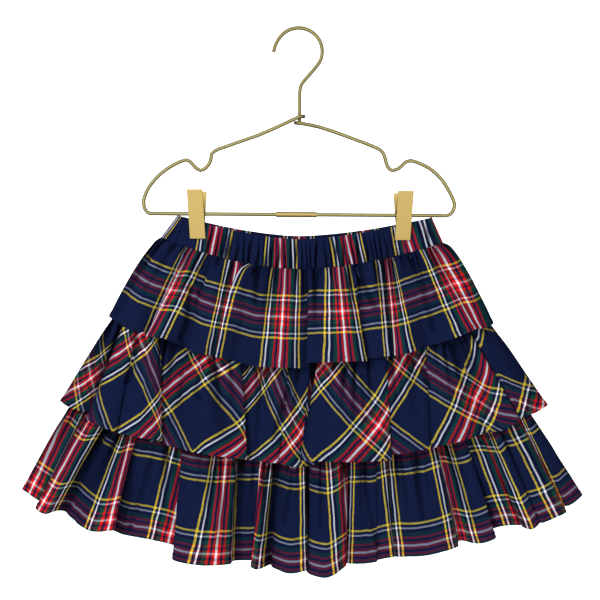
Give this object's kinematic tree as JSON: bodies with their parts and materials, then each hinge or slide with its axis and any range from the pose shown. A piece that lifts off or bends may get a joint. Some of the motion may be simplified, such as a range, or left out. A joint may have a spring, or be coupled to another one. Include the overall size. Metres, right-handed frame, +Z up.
{
  "type": "child's tiered ruffle skirt on a clip hanger",
  "caption": "Child's short tartan skirt with a gathered elastic waist and overlapping ruffled tiers, clipped to a gold wire hanger by its waistband.",
  "frame": {"origin": "inside top of the hanger's hook, where a rail carries it", "axes": "+Z up, the skirt's front faces -Y, +X to the viewer's right as the front is seen"},
  "size_m": [0.536, 0.067, 0.5185],
  "materials": {
    "tartan_cotton": "navy tartan cotton with red, green, white and gold-thread stripes, matt",
    "underskirt_cotton": "plain navy cotton, matt",
    "satin_gold": "satin gold plated steel"
  },
  "bodies": {
    "root": {"waistband_front": "tartan_cotton", "waistband_back": "tartan_cotton", "tier1_front": "tartan_cotton", "tier1_back": "tartan_cotton", "tier2_front": "tartan_cotton", "tier2_back": "tartan_cotton", "tier3_front": "tartan_cotton", "tier3_back": "tartan_cotton", "underskirt_front": "underskirt_cotton", "underskirt_back": "underskirt_cotton", "hook": "satin_gold", "arm_left": "satin_gold", "arm_right": "satin_gold", "clip_bar": "satin_gold", "bar_ferrule": "satin_gold", "clip_left_front": "satin_gold", "clip_left_back": "satin_gold", "clip_right_front": "satin_gold", "clip_right_back": "satin_gold", "spring_left": "satin_gold", "spring_right": "satin_gold"}
  },
  "joints": []
}
